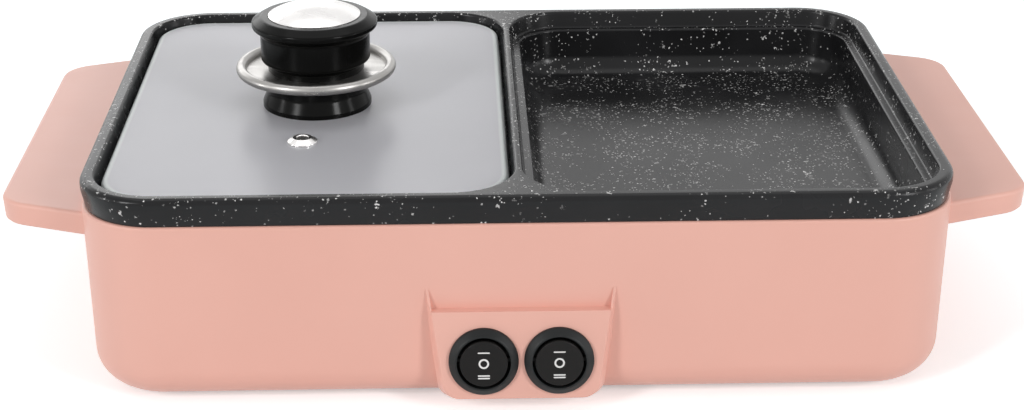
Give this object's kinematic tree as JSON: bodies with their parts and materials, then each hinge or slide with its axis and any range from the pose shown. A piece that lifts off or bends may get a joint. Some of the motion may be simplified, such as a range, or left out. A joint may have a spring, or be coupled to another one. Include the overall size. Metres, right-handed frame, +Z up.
{
  "type": "electric skillet",
  "caption": "Countertop electric skillet: divided cast pan with a lidded pot well beside an open grill well, moulded housing with side handles, front rocker switches and rear power inlet.",
  "frame": {"origin": "centre of the outline on the table, at the underside of the feet", "axes": "+X along the width towards the grill well, +Y to the back, +Z up"},
  "size_m": [0.3556, 0.2183, 0.1141],
  "materials": {
    "pink_shell": "satin salmon pink polypropylene",
    "nonstick_casting": "die casting with a dark speckled non-stick coat",
    "rubber": "dark moulded rubber",
    "zinc_steel": "zinc plated steel",
    "black_screws": "blackened steel",
    "heater_sheath": "dull heater sheath steel",
    "ceramic": "white ceramic bead",
    "nickel_tabs": "nickel plated",
    "aluminised_sheet": "bright aluminised sheet",
    "thermostat_case": "brown moulding with a metal cap",
    "brass_tabs": "plain brass",
    "switch_plastic": "fine textured black",
    "rocker_plastic": "smooth black with white marks",
    "inlet_plastic": "black moulding",
    "sleeve_plastic": "milky insulation",
    "live_insulation": "brown silicone",
    "neutral_insulation": "blue silicone",
    "earth_insulation": "green and yellow silicone",
    "tempered_glass": "flat tempered glass with a polished bare edge",
    "bakelite": "polished black bakelite",
    "stainless": "polished stainless steel"
  },
  "bodies": {
    "cooker": {"housing": "pink_shell", "base_cover": "pink_shell", "pan": "nonstick_casting", "rubber_feet": "rubber", "base_screws": "zinc_steel", "pan_screws": "zinc_steel", "bar_screws": "zinc_steel", "thermostat_screws": "zinc_steel", "earth_screw": "zinc_steel", "heater_bars": "zinc_steel", "inlet_screws": "black_screws", "pot_heater": "heater_sheath", "grill_heater": "heater_sheath", "heater_beads": "ceramic", "heater_pins": "nickel_tabs", "inlet_pins": "nickel_tabs", "pot_shield": "aluminised_sheet", "grill_shield": "aluminised_sheet", "pot_thermostat": "thermostat_case", "grill_thermostat": "thermostat_case", "thermostat_tabs": "brass_tabs", "switch_tabs": "brass_tabs", "earth_tag": "brass_tabs", "left_switch": "switch_plastic", "right_switch": "switch_plastic", "power_inlet": "inlet_plastic", "lead_sleeves": "sleeve_plastic", "live_leads": "live_insulation", "neutral_leads": "neutral_insulation", "earth_lead": "earth_insulation"},
    "lid": {"lid_glass": "tempered_glass", "knob_base": "bakelite", "knob_ring": "stainless", "knob_grip": "bakelite", "knob_cap": "stainless", "knob_screw": "stainless", "knob_washer": "stainless", "steam_vent": "stainless"},
    "left_rocker": {"left_rocker": "rocker_plastic"},
    "right_rocker": {"right_rocker": "rocker_plastic"}
  },
  "joints": [
    {"name": "lid_lift", "type": "slide", "parent": "cooker", "child": "lid", "axis": [0, 0, 1], "range_m": [0, 0.12]},
    {"name": "left_rocker_tip", "type": "hinge", "parent": "cooker", "child": "left_rocker", "pos_m": [-0.0127, -0.1033, 0.0201], "axis": [1, 0, 0], "range_deg": [-10, 10]},
    {"name": "right_rocker_tip", "type": "hinge", "parent": "cooker", "child": "right_rocker", "pos_m": [0.0127, -0.1033, 0.0201], "axis": [1, 0, 0], "range_deg": [-10, 10]}
  ]
}
